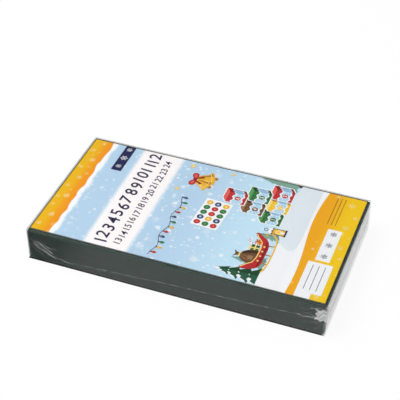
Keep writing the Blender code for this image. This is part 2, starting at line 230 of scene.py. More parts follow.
def new_finish(name):
    """A material with a Principled BSDF, and the object coordinates of its piece."""
    material = bpy.data.materials.new(name)
    material.use_nodes = True
    return material, new_node(material.node_tree, "TexCoord", output="Object")


def set_look(material, **looks):
    """Feed signals or constants to the sockets of a material's Principled BSDF."""
    shader = material.node_tree.nodes["Principled BSDF"]
    for name, item in looks.items():
        feed(shader.inputs[name.replace("_", " ")], item)
    return material


def noise(place, scale, detail=2, roughness=0.5, output=0):
    """Noise texture over the piece, in cycles a metre."""
    return new_node(place.tree, "TexNoise", Vector=place, Scale=scale, Detail=detail,
                    Roughness=roughness, output=output)


def bump(height, strength, distance):
    """Normal of a surface with this height."""
    return new_node(height.tree, "Bump", Strength=strength, Distance=distance, Height=height)


def vector(operation, *inputs, output=0, **named):
    """One Vector Math node, whose first input is a signal."""
    return new_node(inputs[0].tree, "VectorMath", *inputs, operation=operation, output=output,
                    **named)


def new_group(name, output, **inputs):
    """A shader node group with named inputs and one named value as output."""
    group = bpy.data.node_groups.new(name, 'ShaderNodeTree')
    for title, kind in inputs.items():
        group.interface.new_socket(title.replace("_", " "), in_out='INPUT',
                                   socket_type=f"NodeSocket{kind}")
    group.interface.new_socket(output, in_out='OUTPUT', socket_type="NodeSocketFloat")
    given = group.nodes.new("NodeGroupInput").outputs
    return (group, [Signal(socket) for socket in given[:len(inputs)]],
            group.nodes.new("NodeGroupOutput").inputs[0])


def fold_wear_group():
    """Rubbed folds of a box: the second smallest of the three distances to the box's faces
    is near zero along its edges, and noise breaks the line up."""
    group, (place, middle, half_size, width), wear = new_group(
        "fold_wear", "Wear", Place="Vector", Middle="Vector", Half_Size="Vector", Width="Float")
    apart = vector('ABSOLUTE', vector('SUBTRACT', place, middle))
    x, y, z = split(vector('SUBTRACT', half_size, apart))
    second = (x & y) | ((x | y) & z)
    feed(wear, (1 - second / (width * (noise(place, 420, 3, 0.6) * 1.6))) | 0)
    return group


fold_wear = fold_wear_group()


def board_finish(name, node, open_up):
    """Green print outside, bare board inside and at the cut edges, worn at the folds. The
    inside is where a point lies deeper than half the board under all the walls."""
    low, high = (np.array(corner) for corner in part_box(node))
    half, deep = (high - low) / 2, board_thickness / 2
    material, place = new_finish(name)
    x, y, z = split(place)
    inside = (abs(x) < half[0] - deep) * (abs(y) < half[1] - deep)
    if open_up:
        bare = inside * (z > low[2] + deep) | (z > high[2] - deep / 4)
    else:
        bare = inside * (z < high[2] - deep) | (z < low[2] + deep / 4)
    wear = new_node(place.tree, "Group", node_tree=fold_wear, Place=place, Width=wear_width,
                    Middle=tuple((low + high) / 2), Half_Size=tuple(half))
    mottle, fibre = noise(place, 900, 4, 0.65), noise(place, 2600, 3, 0.7)
    green = blend(mottle * 0.22, blend(wear * 0.55, board_green, rubbed_green), rubbed_green)
    return set_look(
        material, Base_Color=blend(bare, green, blend(fibre * 0.5, board_inside, board_core)),
        Roughness=(mottle * 0.1 + 0.36) | bare * 0.85, Normal=bump(fibre, 0.25, 0.00004))


def set_finish(node, material):
    """Give a CAD node its finish."""
    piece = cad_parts[node]
    if not piece.material_slots:
        piece.data.materials.append(material)
    for slot in piece.material_slots:
        slot.material = material


set_finish("base_tray", board_finish("tray_board", "base_tray", True))
set_finish("box_lid", board_finish("lid_board", "box_lid", False))

# Twenty-four gift cartons of 0.45 mm folding board, pressed flat: printed with a coloured
# cap at top and bottom, a snowy white edge and a light blue sky between them, and left
# bare on the inner side, which shows on the closing flap. The colour runs through the six
# of each set.
carton_caps = {"green": ((0.022, 0.12, 0.03), (0.1, 0.3, 0.07)),
               "yellow": ((0.9, 0.56, 0.01), (0.95, 0.75, 0.12)),
               "brown": ((0.075, 0.03, 0.018), (0.2, 0.09, 0.05)),
               "red": ((0.42, 0.012, 0.03), (0.7, 0.1, 0.08))}
carton_sky, carton_snow = (0.4, 0.66, 0.84), (0.88, 0.92, 0.95)
carton_inside, carton_fibre = (0.66, 0.63, 0.57), (0.4, 0.37, 0.32)
carton_mouth, carton_foot_cap, carton_head_cap = 0.06, 0.013, 0.044
snow_edge_width, snow_edge_swing, snow_edge_turns = 0.0022, 0.0016, 420


def snow_dots_group():
    """Soft round dots of snow, one in a cell of a Voronoi texture. The cell's random colour
    gives the dot's size and brightness, and leaves a part of the cells empty."""
    group, (place, per_metre, share), snow = new_group(
        "snow_dots", "Snow", Place="Vector", Per_Metre="Float", Share="Float")
    distance = new_node(group, "TexVoronoi", voronoi_dimensions='2D', Vector=place,
                        Scale=per_metre, Randomness=0.85)
    size, light, chance = split(Signal(distance.socket.node.outputs["Color"]))
    reach = size * 0.16 + 0.1
    dot = fade(distance, reach, reach * 0.35)
    feed(snow, dot * (light * 0.6 + 0.4) * (chance < share))
    return group


snow_dots = snow_dots_group()


def snow_on(place, per_metre, share):
    """The snow dots on a piece."""
    return new_node(place.tree, "Group", node_tree=snow_dots, Place=place, Per_Metre=per_metre,
                    Share=share)


def carton_finish(colour_name):
    """Print of one set of cartons. The distance from the carton's bottom fold is the same
    function of |x| in both stacks, which lie with their mouths together."""
    cap, light = carton_caps[colour_name]
    material, place = new_finish(f"carton_print_{colour_name}")
    x, y, _ = split(place)
    up = float(-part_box("gift_carton_01")[0][0]) - abs(x)
    waved = up + (y * snow_edge_turns).maths('SINE') * snow_edge_swing
    capped = (waved < carton_foot_cap) | (waved > carton_head_cap)
    edged = ((waved < carton_foot_cap + snow_edge_width)
             | (waved > carton_head_cap - snow_edge_width))
    sky = blend(snow_on(place, 190, 0.8), carton_sky, carton_snow)
    colour = blend(capped, blend(edged, sky, carton_snow),
                   blend(snow_on(place, 330, 0.8), cap, light))
    fibre = noise(place, 2400, 3, 0.7)
    upward = split(new_node(place.tree, "NewGeometry", output="Normal"))[2]
    bare = (up > carton_mouth) * (upward > 0.5)
    inner = blend(fibre * 0.35, carton_inside, carton_fibre)
    return set_look(material, Base_Color=blend(bare, colour, inner),
                    Roughness=fibre * 0.12 + (bare * 0.3 + 0.34),
                    Normal=bump(fibre, 0.2, 0.00003))


carton_finishes = [carton_finish(name) for name in carton_caps]
for number in range(1, 25):
    level, stack = divmod(number - 1, 2)
    set_finish(f"gift_carton_{number:02d}", carton_finishes[(level + 2 * stack) % 4])

# Sheet of stickers on the cartons: glossy paper on a siliconised backing, kiss cut into
# twenty-four round stickers, each a coloured disc with a white ring and its plain number.
backing_white, backing_shade, sticker_ring = (0.8, 0.8, 0.76), (0.7, 0.7, 0.66), (0.9, 0.9, 0.88)
sticker_colours = [(0.55, 0.03, 0.03), (0.03, 0.2, 0.075), (0.8, 0.47, 0.03),
                   (0.05, 0.24, 0.5)]
ring_share, line_from_share, line_to_share = 0.88, 0.76, 0.8
no_ink, screen_per_metre = (0, 0, 0), 3000
ink_gap, numeral_height, numeral_weight, digit_share = 0.00004, 0.0095, 0.015, 0.72


def backing_finish():
    """Smooth paper with a faint fibre."""
    material, place = new_finish("sticker_backing_paper")
    fibre = noise(place, 1500, 4, 0.6)
    return set_look(material, Base_Color=blend(fibre, backing_white, backing_shade),
                    Roughness=fibre * 0.15 + 0.28, Normal=bump(fibre, 0.15, 0.00002))


def sticker_finish(name, colour, middle, radius):
    """Disc of one colour with a white ring, worked out from the distance to its middle."""
    material, place = new_finish(name)
    reach = vector('DISTANCE', place, tuple(middle), output="Value")
    ring = (reach > radius * ring_share) | (
        (reach > radius * line_from_share) * (reach < radius * line_to_share))
    printed = blend(snow_on(place, 400, 0.7) * 0.5, colour, sticker_ring)
    gloss = noise(place, 700)
    return set_look(material, Base_Color=blend(ring, printed, sticker_ring),
                    Roughness=gloss * 0.1 + 0.18, Normal=bump(gloss, 0.1, 0.00002))


def set_print(material, place, colour, uneven, **looks):
    """Offset print under a gloss varnish, its colour a little uneven in a fine screen."""
    screen = noise(place, screen_per_metre, 2, 0.6)
    return set_look(material, Base_Color=blend(screen * uneven, colour, no_ink),
                    Roughness=screen * 0.12 + 0.3, Specular_IOR_Level=0.3, **looks)


def ink_finish():
    """Print in the shape's own ink."""
    material, place = new_finish("printing_ink")
    ink = new_node(place.tree, "Attribute", attribute_name="ink", output="Color")
    return set_print(material, place, ink, 0.12)


printing_ink = ink_finish()


def numeral_shape(text, height, weight=0, lean=0):
    """Flat outline of a number as points and faces, centred. Its digits have a height,
    and a weight that thickens their strokes, as a share of the height."""
    curve = bpy.data.curves.new("numeral", 'FONT')
    curve.body, curve.align_x, curve.align_y = text, 'CENTER', 'CENTER'
    curve.size, curve.offset = height / digit_share, weight * height
    curve.shear, curve.resolution_u = lean, 3
    drawn = new_object("numeral", curve)
    drawn_now = drawn.evaluated_get(bpy.context.evaluated_depsgraph_get())
    mesh = drawn_now.to_mesh()
    points = np.array([corner.co[:2] for corner in mesh.vertices])
    order = 1 if mesh.polygons[0].normal.z > 0 else -1
    faces = [tuple(face.vertices)[::order] for face in mesh.polygons]
    drawn_now.to_mesh_clear()
    bpy.data.objects.remove(drawn)
    bpy.data.curves.remove(curve)
    return points - (points.min(axis=0) + points.max(axis=0)) / 2, faces


def ink_mesh(name, shapes):
    """Flat printed shapes as one mesh. Each shape is (points, faces, colour, level): plane
    points in the object's x and y, faces by point numbers, a colour and a height."""
    vertices, faces, colours, start = [], [], [], 0
    for points, shape_faces, colour, level in shapes:
        vertices.append(np.column_stack([points, np.full(len(points), level)]))
        faces += [tuple(int(corner) + start for corner in face) for face in shape_faces]
        colours += [(*colour, 1)] * sum(len(face) for face in shape_faces)
        start += len(points)
    piece = new_mesh(name, np.vstack(vertices).tolist(), faces)
    ink = piece.data.color_attributes.new("ink", 'FLOAT_COLOR', 'CORNER')
    ink.data.foreach_set("color", np.array(colours).ravel())
    piece.data.materials.append(printing_ink)
    return piece


set_finish("sticker_sheet", backing_finish())
numerals = []
for number in range(1, 25):
    node = f"number_sticker_{number:02d}"
    low, high = (np.array(corner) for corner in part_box(node))
    middle = (low + high) / 2
    row, column = divmod(number - 1, 6)
    colour = sticker_colours[(row + column) % len(sticker_colours)]
    set_finish(node, sticker_finish(f"sticker_paper_{number:02d}", colour, middle,
                                    (high[0] - low[0]) / 2))
    points, faces = numeral_shape(str(number), numeral_height, numeral_weight)
    numerals.append((points + middle[:2], faces, sticker_ring, high[2] + ink_gap))
sticker_numerals = ink_mesh("sticker_numerals", numerals)
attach(sticker_numerals, "sticker_sheet")

# Cover card: 0.4 mm coated card laid loose on the lid and printed in full colour with a
# winter scene: a yellow band with snowflakes at each end, drifts of snow, a light blue sky
# full of snow, and a cream panel with the plain numbers of the days.
card_low, card_high = (np.array(corner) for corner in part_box("cover_card"))
card_length, card_width = card_high[0] - card_low[0], card_high[1] - card_low[1]
orange, yellow, deep_orange = (0.85, 0.4, 0.002), (0.88, 0.58, 0.001), (0.84, 0.3, 0.004)
# The dark green at the end of the next line is painted shadow at the card's edge.
amber, fleck_gold, painted_edge_shadow = (0.8, 0.47, 0.002), (1, 0.86, 0.45), (0.02, 0.034, 0.02)
sky_blue, bright_sky, snow_white = (0.45, 0.63, 0.79), (0.55, 0.77, 0.9), (0.89, 0.91, 0.93)
cream, card_core = (0.93, 0.9, 0.9), (0.78, 0.76, 0.72)
left_band, left_drift, panel_start, panel_end = 0.017, 0.0206, 0.046, 0.0815
drift_start, right_band, coating = 0.192, 0.208, 0.00005
# Widths of the dark line painted round the card as the shadow at its edge, at the low and the high
# ends of x and y.
edge_shadow_low, edge_shadow_high = np.array((0.0009, 0.0004)), np.array((0.0004, 0.0011))


def card_finish():
    """Ground colours of the print. Along the card, from its left end: a yellow band with a
    wavy edge, a white drift, blue sky, the cream panel with soft edges, snowy sky, a pale
    drift and the second yellow band, whose edge is one long wave. A dark green line is painted
    round it as the shadow at the card's edge, wider along the left and far edges."""
    material, place = new_finish("card_print")
    x, y, z = split(place)
    along, across = x - card_low[0], y - card_low[1]

    def wave(cycles_a_metre, shift, swing):
        return (across * (cycles_a_metre * 2 * math.pi) + shift).maths('SINE') * swing

    band_edge = (along + wave(58, 0, 0.00045) + wave(23, 1, 0.0005)
                 + (noise(place, 130) - 0.5) * 0.0022)
    drift_edge = (along + wave(37, 2, 0.0006)
                  + (noise(place, 210, 3, 0.6) - 0.5) * 0.005)
    right_edge = along + wave(7.2, 3.6, 0.0026) + wave(3.4, 0.8, 0.0016)
    large, snow, small = (snow_on(place, per_metre, share) * strength
                          for per_metre, share, strength in (
                              (46, 0.45, 0.42), (88, 0.55, 0.85), (150, 0.5, 0.8)))
    in_left = fade(band_edge, left_band + 0.00025, left_band - 0.00025)
    in_right = fade(right_edge, right_band - 0.0002, right_band + 0.0002)
    printed = ((along > edge_shadow_low[0]) * (along < card_length - edge_shadow_high[0])
               * (across > edge_shadow_low[1]) * (across < card_width - edge_shadow_high[1]))
    colour = blend(fade(along, 0.1, 0.18), sky_blue, bright_sky)
    for mask, layer in (
            (small | (snow | large) * fade(along, 0.03, 0.1), snow_white),
            (fade(along, panel_start - 0.0026, panel_start + 0.0022)
             * fade(along, panel_end + 0.003, panel_end - 0.0022), cream),
            (fade(drift_edge, left_drift + 0.0022, left_drift - 0.001), snow_white),
            (in_left, blend(fade(along, 0.004, left_band), amber, deep_orange)),
            (fade(along + wave(5.2, 0.6, 0.0042), drift_start, drift_start + 0.003), snow_white),
            (in_right, blend(fade(along, right_band + 0.004, right_band + 0.022),
                             orange, yellow)),
            # Painted shadow: a dark green line round the card's edge.
            (snow * (in_left | in_right) * 0.34, fleck_gold), (1 - printed, painted_edge_shadow),
            (z < card_high[2] - coating, card_core)):
        colour = blend(mask, colour, layer)
    return set_print(material, place, colour, 0.08,
                     Normal=bump(noise(place, 260), 0.12, 0.0001))


set_finish("cover_card", card_finish())

# Pictures printed on the card: flat shapes of ink, less than 0.3 mm above the paper. A
# motif is drawn in millimetres, right and up as the picture is read with the card's left
# end at the top; its place is (across from the near edge, along from the left). Each shape
# lies one step above the highest one that is already printed where it lies.
ink_foot, ink_step, ink_cell = 0.00001, 0.000006, 0.0004
indigo, navy = (0.022, 0.018, 0.065), (0.016, 0.017, 0.09)
gold, gold_light, gold_dark = (0.8, 0.44, 0.03), (0.95, 0.72, 0.22), (0.42, 0.19, 0.02)
red, red_light, red_dark = (0.5, 0.02, 0.028), (0.75, 0.12, 0.1), (0.25, 0.008, 0.015)
green, green_light, green_dark = (0.03, 0.17, 0.045), (0.1, 0.36, 0.1), (0.01, 0.065, 0.022)
brown, brown_light, brown_dark = (0.16, 0.075, 0.03), (0.34, 0.19, 0.085), (0.06, 0.026, 0.012)
fir_green, fir_teal, fir_teal_dark = (0.02, 0.115, 0.055), (0.21, 0.39, 0.31), (0.15, 0.3, 0.25)
paper_white, shade_blue, snow_shade = (0.88, 0.9, 0.92), (0.62, 0.74, 0.86), (0.74, 0.81, 0.86)
carton_shade, carton_yellow = (0.28, 0.48, 0.66), (0.86, 0.55, 0.02)
flame, flake_gold = (0.95, 0.5, 0.05), (0.95, 0.76, 0.34)
bulb_colours = [(red, red_light), (gold, gold_light), (green, green_light), (navy, sky_blue)]
carton_shades = {"green": (green_dark, green, green_light),
                 "yellow": (gold_dark, carton_yellow, gold_light),
                 "brown": (brown_dark, brown, brown_light), "red": (red_dark, red, red_light)}
cover_ink = []
ink_levels = np.zeros((int(card_length / ink_cell) + 3, int(card_width / ink_cell) + 3), int)


def next_level(spot, faces):
    """Step for a new shape. It covers the cells that its outline crosses, and those whose
    middle is inside it, where an odd number of its edges lies on one side."""
    cells = (spot - card_low[:2]) / ink_cell
    low = np.floor(cells.min(axis=0)).astype(int)
    high = np.ceil(cells.max(axis=0)).astype(int) + 1
    x, y = np.meshgrid(*(np.arange(low[axis], high[axis]) + 0.5 for axis in (0, 1)),
                       indexing="ij")
    covered = np.zeros(x.shape, bool)
    for face in faces:
        corner = cells[list(face)]
        ahead = np.roll(corner, -1, axis=0)
        across = (corner[:, 1] > y[..., None]) != (ahead[:, 1] > y[..., None])
        rise = np.where(ahead[:, 1] == corner[:, 1], 1, ahead[:, 1] - corner[:, 1])
        meet = corner[:, 0] + (y[..., None] - corner[:, 1]) * (ahead[:, 0] - corner[:, 0]) / rise
        covered |= (across & (x[..., None] < meet)).sum(axis=-1) % 2 == 1
        run = np.concatenate([[0], np.cumsum(np.linalg.norm(ahead - corner, axis=1))])
        step = np.linspace(0, run[-1], int(run[-1] * 2.5) + 2)
        closed = np.vstack([corner, corner[:1]])
        edge = [np.floor(np.interp(step, run, closed[:, axis])).astype(int) - low[axis]
                for axis in (0, 1)]
        covered[edge[0], edge[1]] = True
    window = ink_levels[low[0]:high[0], low[1]:high[1]]
    level = window[covered].max() + 1
    window[covered] = level
    return level


def paint(points, colour, place=(0, 0), size=1, turn=0, faces=None):
    """Add one filled shape, an outline or points with faces. A point (right, up) is scaled
    and turned, and lands at x = along - up and y = across + right, from the card's corner."""
    right, up = (np.asarray(points, float) * size).T
    across = right * math.cos(turn) - up * math.sin(turn) + place[0]
    down = place[1] - right * math.sin(turn) - up * math.cos(turn)
    spot = np.column_stack([down, across]) / 1000 + card_low[:2]
    # The pictures stay inside the painted shadow at the card's edge.
    spot = np.clip(spot, card_low[:2] + edge_shadow_low, card_high[:2] - edge_shadow_high)
    if faces is None:
        following = np.roll(spot, -1, axis=0)
        area = (spot[:, 0] * following[:, 1] - following[:, 0] * spot[:, 1]).sum()
        faces = [tuple(range(len(spot)))[::1 if area > 0 else -1]]
    level = card_high[2] + ink_foot + next_level(spot, faces) * ink_step
    cover_ink.append((spot, faces, colour, level))


def draw(place, size, turn, *shapes):
    """Paint pairs of a shape and its colour, one over the other."""
    for shape, colour in shapes:
        paint(shape, colour, place, size, turn)


def smooth(*points):
    """Closed curve through points p: (2 p1 + (p2 - p0) t + (2 p0 - 5 p1 + 4 p2 - p3) t^2
    + (3 p1 - p0 - 3 p2 + p3) t^3) / 2 between each p1 and p2."""
    here = np.asarray(points, float)
    back, ahead, beyond = (np.roll(here, shift, axis=0) for shift in (1, -1, -2))
    t = np.linspace(0, 1, 7, endpoint=False)[:, None, None]
    curve = (2 * here + (ahead - back) * t + (2 * back - 5 * here + 4 * ahead - beyond) * t ** 2
             + (3 * here - back - 3 * ahead + beyond) * t ** 3) / 2
    return curve.transpose(1, 0, 2).reshape(-1, 2)


def stroke(width, *points):
    """Outline of a line drawn along points; the width is a number or one for each point."""
    line = np.asarray(points, float)
    along = np.gradient(line, axis=0)
    along /= np.linalg.norm(along, axis=1, keepdims=True)
    side = np.column_stack([-along[:, 1], along[:, 0]]) * (np.ones(len(line)) * width)[:, None] / 2
    return np.vstack([line + side, (line - side)[::-1]])


def disc(right, up, radius, squeeze=1, corners=24):
    """Circle round a middle, or an upright oval."""
    turn = np.linspace(0, 2 * math.pi, corners, endpoint=False)
    return np.column_stack([right + radius * np.cos(turn), up + radius * squeeze * np.sin(turn)])


def star(outer, inner, rays):
    """Star of alternating outer and inner corners."""
    turn = np.arange(2 * rays) * math.pi / rays + math.pi / 2
    reach = np.where(np.arange(2 * rays) % 2 == 0, outer, inner)
    return np.column_stack([reach * np.cos(turn), reach * np.sin(turn)])


def rectangle(right, up, width, height, radius=0):
    """Rectangle from its lower left corner, with corners rounded by quarter circles."""
    if radius == 0:
        return [(right, up), (right + width, up), (right + width, up + height),
                (right, up + height)]
    start, across, tall = (right + radius, up + radius), width - 2 * radius, height - 2 * radius
    return [(start[0] + x * across + radius * math.cos(turn),
             start[1] + y * tall + radius * math.sin(turn))
            for x, y, quarter in ((1, 0, -0.5), (1, 1, 0), (0, 1, 0.5), (0, 0, 1))
            for turn in np.linspace(quarter, quarter + 0.5, 5) * math.pi]


def snowflake(place, reach, colour, turn=0):
    """Six arms, each with two pairs of side branches."""
    for arm in range(6):
        angle = turn + arm * math.pi / 3
        paint(stroke(reach * 0.11, (0, 0), (0, reach)), colour, place, 1, angle)
        for foot, length in ((0.42, 0.34), (0.7, 0.24)):
            for side in (-1, 1):
                tip = (side * length * reach * 0.8, (foot + length * 0.6) * reach)
                paint(stroke(reach * 0.09, (0, foot * reach), tip), colour, place, 1, angle)


def number_print(number, height, colour, place, turn=0, weight=0, lean=0):
    """One printed number, its middle at a place."""
    points, faces = numeral_shape(str(number), height, weight, lean)
    paint(points, colour, place, 1, turn, faces)


def number_line(numbers, height, start, end, along, swing, turn):
    """Numbers in one line with even gaps, which dance a little up and down."""
    widths = [np.ptp(numeral_shape(str(number), height)[0][:, 0]) for number in numbers]
    gap = (end - start - sum(widths)) / (len(widths) - 1)
    for number, width in zip(numbers, widths):
        place = (start + width / 2, along + swing * math.sin(number * 2.3))
        number_print(number, height, indigo, place, turn * math.sin(number * 1.7), 0.018, 0.08)
        start += width + gap


def fir(place, size, dark, plain, snow):
    """Fir of four tiers with scalloped hems, a shaded right half and snow on its left."""
    paint(rectangle(-1.3, 0, 2.6, 5), brown_dark, place, size)
    for foot, top, half in ((3, 15.5, 9.2), (9.3, 21, 7.4), (15.6, 26.5, 5.5), (21.2, 31.5, 3.5)):
        tall = top - foot
        edge = [(half * 0.3, foot + tall * 0.62), (half * 0.62, foot + tall * 0.3), (half, foot)]
        hem = [(half * share, foot + lift) for share, lift in (
            (0.66, 0.9), (0.4, -0.5), (0.14, 0.9), (-0.14, -0.5), (-0.4, 0.9), (-0.66, -0.4))]
        mirrored = [(-right, up) for right, up in reversed(edge)]
        paint([(0, top)] + edge + hem + mirrored, plain, place, size)
        paint([(0, top)] + edge + hem[:3] + [(half * 0.1, foot + tall * 0.45)], dark, place, size)
        if snow:
            cap = np.array([(0, 1), (0.22, 0.66), (0.08, 0.5), (-0.1, 0.6), (-0.26, 0.36),
                            (-0.46, 0.4), (-0.62, 0.16), (-0.98, 0.03), (-0.6, 0.33),
                            (-0.28, 0.66)])
            paint(cap * (half, tall) + (0, foot), paper_white, place, size)


def parcel(place, size, shades, number):
    """Carton seen from its front and right: coloured caps with a snowy wave, a sky blue
    middle, a lighter top and a white disc with its number."""
    dark, plain, light = shades
    wide, tall, back, rise, disc_up = 14, 17, 5, 3.6, 7.7

    def front(points):
        return np.array(points) * (wide, 1)

    def side(points):
        return np.array(points) @ ((back, rise), (0, 1)) + (wide, 0)

    def cap(level, swing, shift, end):
        across = np.linspace(0, 1, 17)
        wave = np.column_stack([across, level + swing * np.sin(across * 12.6 + shift)])
        return np.vstack([wave, [(1, end), (0, end)]])

    square = [(0, 0), (1, 0), (1, tall), (0, tall)]
    shapes = [([(-0.9, -0.9), (wide + 0.5, -0.9), (wide + back + 0.9, rise - 0.6),
                (wide + back + 0.9, tall + rise + 0.9), (back - 0.6, tall + rise + 0.9),
                (-0.9, tall + 0.6)], paper_white),
              (front(square), carton_sky), (side(square), carton_shade)]
    for lift, front_ink, side_ink in ((0, paper_white, shade_blue), (1.3, plain, dark)):
        head, foot = cap(11.2 + lift, 0.9, 0, tall), cap(3.9 - lift * 0.9, 0.7, 1.5, 0)
        shapes += [(front(head), front_ink), (front(foot), front_ink), (side(head), side_ink),
                   (side(foot), side_ink)]
    shapes.append(([(0, tall), (wide, tall), (wide + back, tall + rise), (back, tall + rise)],
                   light))
    for radius, ink, dots in (
            (0.55, light, ((1.8, 15.2), (5.4, 14), (9.2, 15.4), (12.2, 14.2), (3.4, 1.2),
                           (10.6, 1.6))),
            (0.6, paper_white, ((1.8, 8.6), (12.4, 6.2), (2.4, 5.6), (12, 9.4)))):
        shapes += [(disc(right, up, radius, corners=12), ink) for right, up in dots]
    draw(place, size, 0, *shapes, (disc(wide / 2, disc_up, 3.3), paper_white),
         (disc(wide / 2, disc_up, 2.8), plain))
    number_print(number, 3.5 * size, paper_white,
                 (place[0] + wide / 2 * size, place[1] - disc_up * size), weight=0.03)


def bell(place, size, turn):
    """Golden bell with a rim band, a highlight and its clapper."""
    draw(place, size, turn, (disc(0, -1.8, 1.7), gold_dark),
         (smooth((0, 11), (-2.4, 10.2), (-3.9, 7.2), (-4.5, 3.4), (-6.4, 0.8), (-6, -0.6),
                 (0, -1.2), (6, -0.6), (6.4, 0.8), (4.5, 3.4), (3.9, 7.2), (2.4, 10.2)), gold),
         (smooth((1.2, 9.8), (2, 9.4), (3.2, 6.8), (3.9, 3), (5.4, 0.6), (2.6, 0.2), (2.2, 4)),
          gold_dark),
         (smooth((-1.6, 9.2), (-3, 6.6), (-3.5, 3.4), (-2.4, 3.2), (-1.4, 6.6)), gold_light),
         (stroke(0.55, (-5.2, 1.9), (-2.5, 1.2), (0, 1), (2.5, 1.2), (5.2, 1.9)), gold_light))


def bow(place, size):
    """Ribbon bow: two loops, two tails and a knot."""
    for side in (-1, 1):
        for shape, colour in (
                ([(0.3, 0), (3.2, -6.2), (4.6, -4.9), (5.6, -6.2), (1.3, 0.4)], red_dark),
                (smooth((0, 0), (3, 3), (6.4, 2.8), (6.8, -0.2), (3.4, -1.6)), red),
                (smooth((1.6, 0.5), (3.6, 2), (5.4, 1.7), (5.2, 0.4), (3.4, -0.3)), red_light)):
            paint(np.array(shape) * (side, 1), colour, place, size)
    paint(disc(0, 0.1, 1.35, 1.1), red_dark, place, size)


def wrapped_box(place, size, shades, turn):
    """Small wrapped box with a crossed ribbon."""
    dark, plain, light = shades
    draw(place, size, turn, (rectangle(-4, 0, 8, 7, 0.4), plain),
         (rectangle(1.4, 0, 2.6, 7, 0.3), dark), (rectangle(-0.7, 0, 1.4, 7), light),
         (rectangle(-4, 2.9, 8, 1.3), light),
         *((smooth((0, 7), (side * 1.2, 9), (side * 3, 8.8), (side * 2, 7.2)), light)
           for side in (-1, 1)))


def sticker_picture(place, turn):
    """White sheet with three rows of five round stickers, some with a light star."""
    sheet = rectangle(0, 0, 34, 22.5, 0.3)
    paint(sheet, shade_blue, (place[0] + 0.5, place[1] + 0.5), 1, turn)
    paint(sheet, paper_white, place, 1, turn)
    for number in range(15):
        row, column = divmod(number, 5)
        plain, light = bulb_colours[(2 * row + 3 * column + column // 3) % 4]
        right, up = 4.2 + 6.4 * column, 4.2 + 7 * row
        draw(place, 1, turn, (disc(right, up, 2.7), plain),
             (star(1.7, 0.8, 5 + number % 2) + (right, up), light))


def candy_cane(place, size, turn):
    """White cane with slanting red stripes."""
    bend = np.linspace(0.3, math.pi * 1.05, 9)
    path = np.vstack([np.column_stack([np.zeros(12), np.linspace(0, 11, 12)]),
                      np.column_stack([2.6 - 2.6 * np.cos(bend), 11 + 2.6 * np.sin(bend)])])
    paint(stroke(1.9, *path), paper_white, place, size, turn)
    for first in range(1, len(path) - 2, 3):
        paint(stroke(1.9, *path[first:first + 2]), red, place, size, turn)


def sleigh(place, size):
    """Red sleigh on golden runners, loaded with a brown sack and wrapped boxes."""
    for right, up, scale, shades, turn in (
            (3.5, 12.5, 0.98, (green_dark, green, gold_light), 0.06),
            (11, 11, 0.8, (gold_dark, gold, red), -0.14)):
        wrapped_box((place[0] + right * size, place[1] - up * size), scale * size, shades, turn)
    candy_cane((place[0] + 7.4 * size, place[1] - 14 * size), 0.8 * size, -0.25)
    runner = [(-23, 2.6), (-19, 0.9), (-10, 0.1), (4, 0), (15, 0.8), (21, 3), (24.4, 7.2),
              (24.2, 11), (21.6, 12), (20.6, 10.2)]
    draw(place, size, 0,
         (smooth((-15, 9), (-16.6, 15), (-14.6, 22), (-10.6, 25.6), (-10, 27.4), (-12.2, 30.4),
                 (-8.4, 29.2), (-4.6, 30.8), (-6.4, 27.2), (-5.6, 25.2), (-1.4, 21), (0.8, 14.6),
                 (-0.6, 9)), brown),
         (smooth((-4.2, 9), (-3.4, 15), (-5.8, 21.4), (-6.6, 25.2), (-5.4, 25), (-1.8, 20.6),
                 (0.2, 14.6), (-1, 9)), brown_dark),
         (stroke([0.35, 0.9, 0.2], (-9.8, 25), (-12, 20), (-13.2, 14)), brown_light),
         (stroke([0.35, 0.9, 0.2], (-8.2, 25), (-8.8, 19), (-8, 13)), brown_light),
         (rectangle(-11.6, 14, 4.6, 4.2, 0.4), brown_light),
         (stroke(1.2, (-10.9, 25.2), (-8.2, 25.9), (-5.3, 25)), gold_light),
         *((stroke(1.3, *post), gold_dark) for post in (
             ((-13, 0.5), (-12, 6.4)), ((-2, 0.2), (-2, 5.6)), ((10, 0.6), (9, 6.2)))),
         (stroke(1.5, *runner), gold),
         (stroke(0.45, *(np.array(runner[1:7]) + (0, 0.35))), gold_light),
         (smooth((-20, 8), (-15, 5.4), (-4, 5), (8, 5.4), (15.5, 8.6), (19.4, 14), (22.6, 18.6),
                 (20.6, 20.4), (16.4, 17.4), (12, 13.2), (4, 11.8), (-8, 12), (-14, 13.6),
                 (-18, 18), (-22.4, 21.4), (-24, 18.8), (-22.6, 13)), red),
         (smooth((-19, 8.2), (-14.6, 6.4), (-4, 6), (7.4, 6.4), (13.4, 9), (4, 8.2), (-8, 8.2)),
          red_dark),
         (stroke(0.9, (20.6, 19.6), (16.4, 16.6), (12, 12.5), (4, 11.1), (-8, 11.3), (-14, 12.9),
                 (-18.2, 17.2), (-22.2, 20.4)), gold_light))
    for right in (-11, -5, 1, 7):
        spot = (place[0] + right * size, place[1] - 8.9 * size)
        paint(star(1.5, 0.6, 6), gold_light, spot, size)


